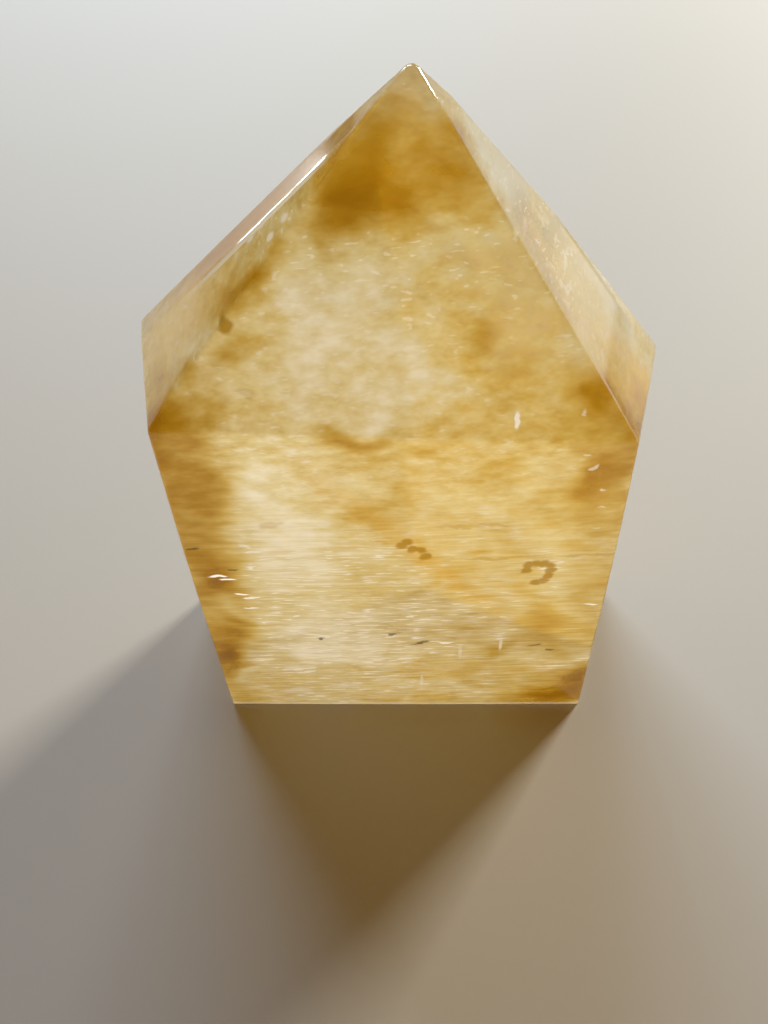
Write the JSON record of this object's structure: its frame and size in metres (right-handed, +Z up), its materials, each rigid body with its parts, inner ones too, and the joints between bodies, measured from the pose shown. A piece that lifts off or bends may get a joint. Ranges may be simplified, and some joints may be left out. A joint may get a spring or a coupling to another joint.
{
  "type": "honey calcite tower",
  "caption": "Polished honey calcite tower: a clear to cloudy golden crystal with upright sides, a flat foot and a faceted point, made to stand on a shelf.",
  "frame": {"origin": "middle of the stone's bounding box, on the plane of the flat foot", "axes": "+Z up through the point, -Y out of the wide front side, +X to the right seen from the front"},
  "size_m": [0.0644, 0.048, 0.0797],
  "materials": {
    "honey_calcite": "polished calcite, clear honey to milky pale yellow, with fine level growth streaks"
  },
  "bodies": {
    "root": {"tower": "honey_calcite"}
  },
  "joints": []
}
